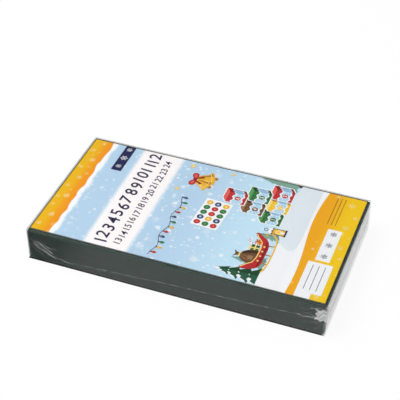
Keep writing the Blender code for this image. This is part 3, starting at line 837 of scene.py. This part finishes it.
def lantern(place, size):
    """Candle lantern with a dark frame, a snowy roof and a ring."""
    draw(place, size, 0, (rectangle(-5.4, 0, 10.8, 1.8, 0.5), indigo),
         ([(-4.6, 1.8), (4.6, 1.8), (4, 14), (-4, 14)], gold),
         (disc(0, 7.2, 3.4, 1.35), gold_light), (rectangle(-1.3, 1.8, 2.6, 4.4, 0.2), paper_white),
         (smooth((0, 6.2), (1.1, 7.6), (0, 10.6), (-1.1, 7.6)), flame),
         (stroke(0.75, (-4.5, 1.6), (-4, 14.2)), indigo),
         (stroke(0.75, (4.5, 1.6), (4, 14.2)), indigo),
         ([(-6, 14), (6, 14), (2, 18.6), (-2, 18.6)], indigo),
         (smooth((-6.4, 14.2), (-3.6, 17.6), (0, 19.4), (3.6, 17.6), (6.4, 14.2), (4, 15.2),
                 (2, 14.4), (0, 15.6), (-2.2, 14.5), (-4.2, 15.2)), paper_white),
         (stroke(0.7, *((2 * math.cos(angle), 21 + 2 * math.sin(angle))
                        for angle in np.linspace(0, 2 * math.pi, 19))), indigo))


def draw_cover():
    """Lay the motifs out on the card, from the far layer of the picture to the near one."""
    chance = np.random.default_rng(24)
    for across, along, reach in (
            (8, 4.5, 2.2), (20.5, 9, 2.8), (33, 4.2, 1.8), (46, 10, 3), (58.5, 5, 2),
            (71, 9.4, 2.6), (84.5, 4.4, 2), (96, 9.6, 3), (109, 5, 2.4), (120, 10, 2),
            (4.5, 231, 2.4), (50, 236, 2), (62, 233, 2.6), (86, 231, 2.6), (100, 235.5, 2.2),
            (114, 229, 3), (121, 216, 2), (54, 214, 1.8)):
        snowflake((across, along), reach, flake_gold, chance.uniform(0, 1))
    for from_along, to_along, count in ((86, 140, 26), (25, 43, 8)):
        for _ in range(count):
            snowflake((chance.uniform(3, 84), chance.uniform(from_along, to_along)),
                      chance.uniform(0.8, 1.5), paper_white, chance.uniform(0, 1))

    paint(rectangle(0, 0, 35.6, 9, 0.5), navy, (90.2, 38))
    for across, reach in ((96.2, 2.6), (107.8, 3.3), (119.6, 2.6)):
        snowflake((across, 33.5), reach, paper_white, 0.2)
    number_line(range(1, 13), 10.6, 5.5, 121.5, 57.4, 0.8, 0.09)
    number_line(range(13, 25), 5.9, 7, 116, 71.4, 0.45, 0.06)

    wire = np.linspace(4, 78, 60)
    sag = 98 + 3 * np.sin((wire - 4) / 74 * math.pi * 3) ** 2
    paint(stroke(0.5, *zip(wire, -sag)), indigo)
    for index, step in enumerate(range(3, 59, 5)):
        plain, light = bulb_colours[index % 4]
        draw((wire[step], sag[step]), 1, 0, (rectangle(-0.6, -1.5, 1.2, 1.2), indigo),
             (smooth((0, -1), (1.3, -2.4), (1.1, -4), (0, -5.2), (-1.1, -4), (-1.3, -2.4)), plain),
             (disc(-0.45, -2.6, 0.42, 1.4, 12), light))

    sticker_picture((47.5, 137.5), -0.07)
    bell((107.5, 113.5), 1.2, 0.32)
    bell((97, 112), 1.05, -0.34)
    bow((102.2, 99.6), 1.15)
    for place, size in (((118, 92), 2.4), ((86, 90), 1.9), ((119, 127), 1.8)):
        paint(star(size * 1.45, size * 0.62, 5), gold, place)
        paint(star(size * 0.95, size * 0.42, 5), gold_light, place)

    for place, size in (((24, 188), 0.95), ((123, 186), 1.15), ((56, 189), 0.7)):
        fir(place, size, fir_teal_dark, fir_teal, False)
    fir((9, 191), 1.36, green_dark, fir_green, True)
    paint(smooth((-6, -187), (10, -184.5), (30, -186), (52, -188.5), (55, -201.5), (24, -202.5),
                 (-6, -201.5)), paper_white)
    paint(smooth((49, -191), (66, -183), (92, -180.5), (116, -184), (131, -188), (131, -201.5),
                 (90, -202.5), (49, -201.5)), snow_shade)
    sleigh((36.5, 187), 0.92)
    lantern((63, 190), 0.78)
    for index, (across, along, colour) in enumerate((
            (69.6, 182, "green"), (85, 183, "yellow"), (100.4, 182.2, "red"),
            (76.6, 164.6, "brown"), (92.2, 165.2, "green"), (84.2, 147.4, "red"))):
        parcel((across, along), 0.9, carton_shades[colour], index + 1)

    for place, *panel in (((6.4, 234), 34, 19.4, 0.4), ((0, 226.6), 9, 12),
                          ((43.2, 230), 37.6, 11.3, 0.4)):
        paint(rectangle(0, 0, *panel), paper_white, place)
    for along in (219.6, 224.4, 229.2):
        paint(rectangle(0, 0, 27.4, 0.45), indigo, (9.7, along))
    for across in (48.5, 62, 75.5):
        snowflake((across, 224.4), 2.9, navy, 0.5)
    for along in (216.4, 219.6, 222.8):
        paint(rectangle(0, 0, 34, 0.4), brown_dark, (86, along))


draw_cover()
cover_pictures = ink_mesh("cover_pictures", cover_ink)
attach(cover_pictures, "cover_card")

# Clear shrink film, an upper and a lower web of 0.03 mm polyolefin drawn tight by heat. A
# trim weld joins them round the sides. It runs high at the near left corner, drops in a few
# bright tension creases, and then climbs slowly to the near right corner, where the spare
# film is gathered in a crumpled ear. The top is nearly flat, and the ends carry shallow
# creases along their length. The creases' bright glints are painted highlights, white milk
# mixed into the film.
film_skin, film_edge, film_foot_edge, film_corner = 0.00003, 0.0009, 0.0004, 0.0012
film_lip, weld_gap, film_lift, film_index = 0.0005, 0.00012, 0.00003, 1.5
film_size = np.array(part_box("film_upper")[1])
film_half_length, film_half_width, film_top = film_size - (film_lip, film_lip, 0)
long_core, wide_core = film_half_length - film_corner, film_half_width - film_corner
crease_reach_in, crease_reach_out, corner_steps = 0.00022, 0.00042, 4
near_side_from, right_end_from, side_depth, waver_reach = -0.06, 0.115, 0.001, 0.0016
# Milk colour and shares: painted highlights of creases and folds, and the weld's whitening, partly
# its own and partly a painted highlight.
haze_and_glint_white, haze_and_glint_share, most_haze_and_glint = (0.86, 0.88, 0.88), 0.34, 0.85
# Seam: share of the way along a side, and how far down it lies as a share of the height.
seam_near = [(0, 0.2), (0.03, 0.34), (0.1, 0.74), (0.14, 0.79), (0.22, 0.755), (0.3, 0.71),
             (0.38, 0.68), (0.47, 0.62), (0.6, 0.58), (0.78, 0.53), (0.895, 0.48),
             (0.96, 0.41), (1, 0.36)]
seam_right = [(0, 0.36), (0.12, 0.45), (0.5, 0.51), (1, 0.5)]
seam_far = [(0, 0.5), (0.3, 0.52), (0.7, 0.49), (1, 0.5)]
seam_left = [(0, 0.5), (0.5, 0.46), (0.9, 0.3), (1, 0.2)]
# Creases in millimetres: where they start and end, along the side and up, then their height,
# width and haze, which is a painted highlight. Fine lines: the same, with their width, milk
# (a painted highlight) and lift.
near_creases = [
    (-116.6, 19.9, -96.4, 5.7, 0.4, 0.5, 1), (-112.8, 21.2, -99.6, 10.6, 0.36, 0.45, 0.5),
    (-109.5, 20.4, -97, 11.4, 0.24, 0.4, 0.35), (-103.4, 17.6, -98.6, 14.6, 0.26, 0.45, 0),
    (-99.4, 16.4, -94.4, 14.2, 0.24, 0.4, 0), (-97, 7.2, -82, 5.4, 0.22, 0.5, 0.5),
    (-116, 14.5, -104, 4, 0.16, 0.6, 0.12), (-112, 27, -98, 22.6, -0.2, 0.7, 0),
    (-100, 26.6, -84, 21, 0.16, 0.8, 0), (-92, 24, -70, 17.5, 0.1, 1.1, 0),
    (-84, 5.8, -70, 12, 0.1, 0.6, 0), (-78, 6.6, -60, 12.5, 0.08, 0.7, 0),
    (98, 23.6, 112, 21, 0.18, 0.55, 0.1), (103, 19.6, 112.6, 18.6, 0.24, 0.5, 0.25),
    (96, 13.4, 113.6, 15.2, 0.14, 0.6, 0.1), (104, 9.6, 119, 13.8, 0.16, 0.6, 0.15),
    (112.6, 4, 120, 12.6, 0.2, 0.55, 0.2), (108, 26.8, 119, 24.6, 0.18, 0.6, 0.15)]
end_creases = [
    (-64, 24, -36, 22.4, 0.06, 2, 0), (-63, 19, -44, 15, 0.08, 1.8, 0),
    (-62, 9, -34, 13.4, 0.06, 1.9, 0), (-50, 19.4, 30, 18.4, 0.05, 2.6, 0),
    (-50, 7, 40, 8.4, 0.06, 2.2, 0), (0, 23, 63, 24, 0.08, 1.6, 0)]
far_creases, left_creases = (np.array(creases) * (-1, 1, -1, 1, 1, 1, 0.6)
                             for creases in (near_creases[12:], end_creases))
near_lines = [
    (-116.4, 17.4, -101.4, 7.4, 0.46, 0.44, 0.3), (-112.6, 20.9, -99.2, 10.6, 0.36, 0.34, 0.28),
    (-104.6, 14.6, -99.4, 10.6, 0.5, 0.36, 0.1), (-100.6, 8.6, -96.6, 6.4, 0.44, 0.26, 0.16),
    (-115.4, 20.8, -104, 11.4, 0.42, 0, -0.5), (-121, 25.4, -119.2, 3, 1.3, 0.06, 0.05),
    (-92.6, 7.2, -87.4, 5.6, 0.44, 0.16, 0.14), (-104.6, 17, -99.6, 15.6, 0.4, 0.2, 0.2),
    (-100.4, 16.6, -95.2, 15.4, 0.36, 0.14, 0.18), (-119, 16, -108, 6.6, 0.4, 0.05, -0.3),
    (-117, 24.6, -106, 15.8, 0.5, 0, -0.4), (-110, 22.4, -98, 12.6, 0.5, 0, -0.4),
    (-105, 26.6, -88, 21, 0.5, 0, -0.34), (-108, 22, -96, 18, 0.44, 0.02, 0.2),
    (-96, 24.6, -78, 19.4, 0.36, 0, -0.16), (-98, 11, -86, 7.4, 0.5, 0, -0.3),
    (107, 23.2, 117.8, 27.6, 0.4, 0.24, 0.2), (98.6, 16.6, 104.8, 14.6, 0.4, 0.16, 0.18),
    (104, 14.8, 115, 17, 0.36, 0.34, 0.2), (103, 26.4, 110.4, 23.2, 0.44, 0, -0.34),
    (104.4, 19.6, 114.2, 21.8, 0.7, 0, -0.4), (108.6, 22, 114.8, 24.6, 0.6, 0, -0.4),
    (112.6, 9.4, 119.4, 13.8, 0.5, 0.05, 0.26), (118.6, 3.6, 120.6, 13, 0.36, 0.05, 0.2)]
end_lines = [
    (-61.6, 26.6, -59, 12, 0.7, 0, 0.1), (-59, 27, -56, 14, 0.8, 0, 0.1),
    (-56, 27.2, -51, 17, 0.7, 0, 0.08), (-62.6, 12, -50, 5, 0.8, 0, 0.06)]
# Tucks of the top at its corners, in millimetres: start, end, width and depth.
top_tucks = [(-118, -62, -100, -48, 0.6, 0.05), (-116, -63, -92, -55, 0.5, 0.04),
             (118, -62, 104, -46, 0.6, 0.05), (117, -63, 96, -56, 0.5, 0.04),
             (-118, 62, -106, 50, 0.6, 0.03), (118, 62, 106, 52, 0.6, 0.03)]


def side_places(half, *dense):
    """Places along a side, closer together where creases lie, the same for both long sides
    or both ends: each dense stretch is (from, to, spacing) in metres."""
    places = [np.array([-half, half])]
    for start, end, spacing in dense:
        places.append(np.linspace(start, end, int(round((end - start) / spacing)) + 1))
    places = np.unique(np.concatenate(places).round(6))
    return places[np.concatenate([[True], np.diff(places) > 0.00018])]


x_places = side_places(long_core, (-long_core, -0.06, 0.0005), (-0.06, 0.094, 0.0022),
                       (0.094, long_core, 0.0006))
y_places = side_places(wide_core, (-wide_core, -0.036, 0.0008), (-0.036, wide_core, 0.0022))


def film_outline():
    """Core points, outward directions, side numbers (-1 at a corner) and seam heights round
    the pack. A side's table of seam shares is spread over it and its corners rounded off."""
    rows = []
    for number, (places, normal, table) in enumerate((
            (x_places, (0, -1), seam_near), (y_places, (1, 0), seam_right),
            (-x_places[::-1], (0, 1), seam_far), (-y_places[::-1], (-1, 0), seam_left))):
        half, deep = (long_core, wide_core) if number % 2 == 0 else (wide_core, long_core)
        fine = np.linspace(0, 1, 241)
        level = np.pad(np.interp(fine, *np.array(table).T), 6, mode="edge")
        level = np.convolve(level, np.hanning(13) / np.hanning(13).sum(), mode="valid")
        normal = np.array(normal)
        across = np.array((-normal[1], normal[0]))
        for place in places:
            rows.append((*(across * place + normal * deep), *normal, number,
                         np.interp((place + half) / (2 * half), fine, level)))
        for step in range(1, corner_steps):
            turn = math.pi / 2 * step / corner_steps
            rows.append((*rows[-1][:2], *(normal * math.cos(turn) + across * math.sin(turn)),
                         -1, level[-1]))
    rows = np.array(rows)
    return rows[:, :2], rows[:, 2:4], rows[:, 4].astype(int), film_top * (1 - rows[:, 5])


film_core, film_out, film_side, film_seam = film_outline()


def near_line(x, y, x0, y0, x1, y1, rise, fall):
    """Distance of points from a line, the share of its length at which they lie, and a
    taper from 0 to 1: the share times rise at its start, the rest times fall at its end."""
    length = math.hypot(x1 - x0, y1 - y0)
    ux, uy = (x1 - x0) / length, (y1 - y0) / length
    run = ((x - x0) * ux + (y - y0) * uy) / length
    apart = (y - y0) * ux - (x - x0) * uy
    return apart, run, np.clip(run * rise, 0, 1) * np.clip((1 - run) * fall, 0, 1)


def crease_field(along, up, creases):
    """Sum of ridges, each a bell curve across a wavering line that fades out at both its
    ends, with their haze, a painted highlight; all in millimetres."""
    push, haze = np.zeros(len(along)), np.zeros(len(along))
    for *line, height, width, milk_and_glint in creases:
        apart, run, taper = near_line(along, up, *line, 6, 3.5)
        apart += 0.35 * np.sin(run * 5 + line[0])
        push += height * np.exp(-(apart / width) ** 2) * taper
        haze += milk_and_glint * np.exp(-(apart / (width * 0.55)) ** 2) * taper
    return push, haze


def wall_shape(level):
    """How far a ring of the film's wall stands off its flat place, and its haze, the painted
    highlight of its creases: creases, a bow on each side, and ripples that are strongest near
    the seam."""
    push, haze = np.zeros(len(level)), np.zeros(len(level))
    up = level * 1000
    for number, creases in enumerate((near_creases, end_creases, far_creases, left_creases)):
        here = film_side == number
        along = film_core[here, number % 2] * 1000
        push[here], haze[here] = crease_field(along, up[here], creases)
    bowed = np.array([0.06, 0.3, 0.06, 0.2, 0])[film_side]
    phase = film_core @ (900, 700)
    near_seam = np.exp(-np.abs(level - film_seam) / 0.0012)
    push += (bowed * (1 - (2 * level / film_top - 1) ** 2)
             + near_seam * 0.07 * np.sin(phase) * np.sin(phase * 0.37 + 1)
             + 0.035 * np.sin(up * 0.9 + phase * 0.05) * np.sin(phase * 0.021 + 0.6))
    return np.clip(push / 1000, -crease_reach_in, crease_reach_out), haze


def grid_faces(columns, rows, closed=False):
    """Faces of a grid of points that are numbered along its columns. A closed grid joins
    each column's last point to its first."""
    column, row = np.meshgrid(np.arange(columns - 1), np.arange(rows - (not closed)),
                              indexing="ij")
    here, above = column * rows + row, column * rows + (row + 1) % rows
    return np.stack([here, here + rows, above + rows, above], axis=-1).reshape(-1, 4)


def set_haze(mesh, haze):
    """Milkiness of the film at each point of a mesh: its painted highlights, and the weld's
    whitening.
    """
    mesh.attributes.new("haze", 'FLOAT', 'POINT').data.foreach_set("value", haze.ravel())


def top_points():
    """The film's top: a grid with the stations of the facing sides, which dips in slow
    ripples and in the tucks, each a bell curve across a line. The edges stay level."""
    x, y = np.meshgrid(x_places, y_places, indexing="ij")
    dip = (0.5 + 0.5 * np.sin(x * 46 + 2.1 * np.sin(y * 31) + 0.8)) * 0.00005
    dip += (0.5 + 0.5 * np.sin(y * 120 + x * 23)) * 0.00003
    for *line, width, deep in top_tucks:
        apart, _, taper = near_line(x * 1000, y * 1000, *line, 5, 3)
        dip += deep / 1000 * np.exp(-(apart / width) ** 2) * taper
    dip *= np.minimum(1, np.minimum(long_core - np.abs(x), wide_core - np.abs(y)) / 0.004)
    return np.column_stack([x.ravel() * (film_half_length - film_edge) / long_core,
                            y.ravel() * (film_half_width - film_edge) / wide_core,
                            film_top - dip.ravel()])


def film_web_mesh(name, web_up):
    """One web as a grid of rings round the pack: from the weld's lip up or down the wall,
    round the edge, and over the face. The bottom is one flat face."""
    count, flat = len(film_core), np.zeros(len(film_core))
    toward, steps, edge, face_level = ((1, 34, film_edge, film_top) if web_up
                                       else (-1, 16, film_foot_edge, film_lift))
    lip, end = film_seam + toward * weld_gap, face_level - toward * edge
    phase = film_core @ (400, 310)
    # The weld bead's milk is partly the weld's own whitening and partly a painted highlight where
    # its lip catches the light.
    sealed = np.where(film_side == 0, np.interp(film_core[:, 0], (-0.098, -0.062), (0.2, 1)), 1)
    bead = sealed * np.clip(0.28 + 0.6 * np.sin(phase * 1.9) * np.sin(phase * 0.61 + 1)
                            + 0.3 * np.sin(phase * 3.1), 0.03, 1)
    stand = film_lip * np.array([0.62, 0.22, 0.2, 0.2, 0.3])[film_side] * (0.4 + 0.6 * sealed)
    push, haze = wall_shape(lip)
    rings = [(stand * (0.8 + 0.18 * np.sin(phase * 1.3)), lip + toward * 0.00004, bead),
             (stand * 0.35, lip, bead * 0.9),
             (np.minimum(push, 0.0001), lip + toward * 0.00006, bead * 0.12 + haze)]
    for share in np.arange(1, steps + 1) / steps:
        level = lip + (end - lip) * share + toward * 0.00006 * (1 - share)
        fade_out = min(1, (1 - share) * 6)
        push, haze = wall_shape(level)
        rings.append((push * fade_out, level, haze * fade_out))
    for turn in math.pi / 2 * np.arange(1, 4) / 3:
        rings.append((flat - edge * (1 - math.cos(turn)),
                      flat + face_level - toward * edge * (1 - math.sin(turn)), flat))
    vertices = np.vstack([
        np.column_stack([film_core + film_out * (film_corner + offset)[:, None], level])
        for offset, level, haze in rings])
    haze = np.clip(np.concatenate([haze for offset, level, haze in rings]), 0, 1)
    faces = np.roll(grid_faces(len(rings), count, True)[:, ::-1], 1, axis=1)
    if web_up:
        top = top_points()
        top_faces = grid_faces(len(x_places), len(y_places)) + len(vertices)
        faces = np.vstack([faces, top_faces]).tolist()
        vertices, haze = np.vstack([vertices, top]), np.concatenate([haze, np.zeros(len(top))])
    else:
        last_ring = list(range(len(vertices) - count, len(vertices)))
        faces = faces[:, ::-1].tolist() + [last_ring[::-1]]
    piece = new_mesh(name, vertices.tolist(), faces)
    set_haze(piece.data, haze)
    piece.modifiers.new("weld", 'WELD').merge_threshold = 0.00001
    skin = piece.modifiers.new("skin", 'SOLIDIFY')
    skin.thickness, skin.offset = film_skin, -1
    bpy.context.view_layer.update()
    graph = bpy.context.evaluated_depsgraph_get()
    made = bpy.data.meshes.new_from_object(piece.evaluated_get(graph))
    piece.modifiers.clear()
    piece.data = made
    made.name = name
    made.shade_smooth()
    return piece


def crease_line_group():
    """A tapered line between two points. Its half width is the given one times the square
    root of 4 s (1 - s), where s is how far along the line the nearest point lies."""
    group, (place, start, end, width), line = new_group(
        "crease_line", "Line", Place="Vector", Start="Vector", End="Vector", Width="Float")
    run, whole = vector('SUBTRACT', place, start), vector('SUBTRACT', end, start)
    share = (vector('DOT_PRODUCT', run, whole, output="Value")
             / vector('DOT_PRODUCT', whole, whole, output="Value")) & 1 | 0
    apart = vector('DISTANCE', run, vector('SCALE', whole, Scale=share), output="Value")
    half = (share * 4 * (1 - share)).maths('SQRT') * width | 0.000001
    feed(line, fade(apart, half, 0))
    return group


crease_line = crease_line_group()


def creases_of(place):
    """Milk, a painted highlight, and height of the film's finest creases: lines on the near side
    and on the right end, wavering with noise, broken up by a second noise."""
    moved = vector('MULTIPLY_ADD', noise(place, 160, output="Color"), (waver_reach,) * 3, place)
    x, y, _ = split(place)
    glint_milk, height = 0, 0
    for axes, here, lines in (((1, 0, 1), y < near_side_from, near_lines),
                              ((0, 1, 1), x > right_end_from, end_lines)):
        flat = vector('MULTIPLY', moved, axes)
        for from_along, from_up, to_along, to_up, width, milk_and_glint, lift in lines:
            start, end = (tuple((np.array((along, along, up)) / 1000 + waver_reach / 2) * axes)
                          for along, up in ((from_along, from_up), (to_along, to_up)))
            line = here * new_node(place.tree, "Group", node_tree=crease_line, Place=flat,
                                   Start=start, End=end, Width=width / 1000)
            glint_milk = line.maths('MULTIPLY_ADD', milk_and_glint, glint_milk)
            height = line.maths('MULTIPLY_ADD', lift, height)
    return glint_milk * (noise(place, 520, 2, 0.6) * 1.8 + 0.1), height


def film_finish(name, creased):
    """Clear film: a glossy skin over a see-through one by Fresnel's share, with white milk mixed
    in: painted highlights along creases and folds, and at the weld partly its own whitening and
    partly a painted highlight. Inside the skin Fresnel gets 1/n, because the ray isn't bent here."""
    material = bpy.data.materials.new(name)
    tree = blank_tree(material)
    place = new_node(tree, "TexCoord", output="Object")
    fine_glint_milk, fine_height = creases_of(place) if creased else (0, 0)
    streaks = noise(place, 320, 3, 0.6) * 0.1 + 0.05
    gloss = new_node(tree, "BsdfGlossy", Color=white, Roughness=streaks,
                     Normal=bump(noise(place, 150) * 0.018 + fine_height, 0.8, 0.001))
    behind = new_node(tree, "NewGeometry", output="Backfacing")
    fresnel = new_node(tree, "Fresnel", behind * (1 / film_index - film_index) + film_index)
    skin = new_node(tree, "MixShader", fresnel, new_node(tree, "BsdfTransparent"), gloss)
    # Painted highlight: the haze attribute and the fine crease lines mix white milk into the film.
    haze = new_node(tree, "Attribute", attribute_name="haze", output="Fac")
    milk_and_glint = (haze * haze_and_glint_share + fine_glint_milk) & most_haze_and_glint
    new_node(tree, "OutputMaterial", new_node(tree, "MixShader", milk_and_glint, skin,
                                              new_node(tree, "BsdfDiffuse", haze_and_glint_white)))
    return material


plain_film = film_finish("clear_shrink_film", False)
creased_film = film_finish("creased_shrink_film", True)
for node, web_up in (("film_upper", True), ("film_lower", False)):
    web = film_web_mesh(f"{node}_skin", web_up)
    web.data.materials.append(plain_film)
    web.data.materials.append(creased_film)
    x, y, _ = np.array([face.center for face in web.data.polygons]).T
    creased = (y < side_depth - film_half_width) | (x > film_half_length - side_depth)
    web.data.polygons.foreach_set("material_index", creased.astype(np.int32))
    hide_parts(node)
    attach(web, node)

# The ear of spare film at the near right corner: film crushed into small facets that lie
# over one another, round the corner from the near side to the end, milky at their folds, a painted
# highlight.
ear_from, ear_to, ear_foot, ear_head = -0.0078, 0.005, 0.0142, 0.0274
ear_stand, ear_columns, ear_rows = 0.00085, 110, 84
ear_waves = [(1.5, 0.8, 0.1, 0.4), (-1.1, 1.9, 0.45, 0.34), (2.9, 1.6, 0.8, 0.16),
             (-2.2, 3.4, 0.25, 0.12), (4.6, -2.7, 0.6, 0.06)]


def ear_mesh():
    """Grid round the corner. A point's height off the pack is the sum of triangle waves in
    five directions, and its milk, a painted highlight, grows where they climb to the upper left,
    on the facets that face the light. The rim is ragged and lies against the wall."""
    u, v = np.meshgrid(np.linspace(0, 1, ear_columns), np.linspace(0, 1, ear_rows),
                       indexing="ij")
    bent_u = u + 0.035 * np.sin(v * 11 + 1) + 0.02 * np.sin(v * 29)
    bent_v = v + 0.04 * np.sin(u * 9) + 0.02 * np.sin(u * 27 + 2)
    crush = np.zeros_like(u)
    for turns_u, turns_v, start, share in ear_waves:
        crush += share * np.abs(2 * ((bent_u * turns_u + bent_v * turns_v + start) % 1) - 1)
    slope_u, slope_v = np.gradient(crush)
    foot_band = np.exp(-((v - 0.1) / 0.07) ** 2)
    reach_left = np.clip(u * 8 - 0.2 - 1.2 * v * (1.2 - v) + 0.5 * np.sin(v * 15), 0, 1)
    rim = np.minimum(np.minimum(reach_left, (1 - u) * 7),
                     np.minimum(v * 6 + 0.3 * np.sin(u * 19), (1 - v) * 6))
    rim = np.clip(rim, 0, 1)
    along = ear_from + (ear_to - ear_from) * u
    angle = np.clip(along / film_corner, 0, math.pi / 2)
    reach = film_corner + film_skin + ear_stand * rim * (0.1 + 0.9 * crush)
    x = long_core + np.minimum(along, 0) + reach * np.sin(angle)
    y = np.maximum(along - film_corner * math.pi / 2, 0) - wide_core - reach * np.cos(angle)
    z = ear_foot + (ear_head - ear_foot) * v + 0.0007 * np.sin(u * 15) - 0.0022 * (1 - u) * v
    piece = new_mesh("film_ear", np.column_stack([x.ravel(), y.ravel(), z.ravel()]).tolist(),
                     grid_faces(ear_columns, ear_rows).tolist())
    # Painted highlight: the ear's milk is strongest on facets that face the light and along its
    # foot.
    ear_glint = (1.7 + 10 * (slope_v - slope_u) + 0.7 * foot_band) * np.clip(rim * 1.8, 0, 1)
    set_haze(piece.data, np.clip(ear_glint * np.where(angle > 0.8, 0.8, 1), 0, 2.2))
    piece.data.shade_smooth()
    return piece


film_ear = ear_mesh()
film_ear.data.materials.append(plain_film)
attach(film_ear, "film_upper")
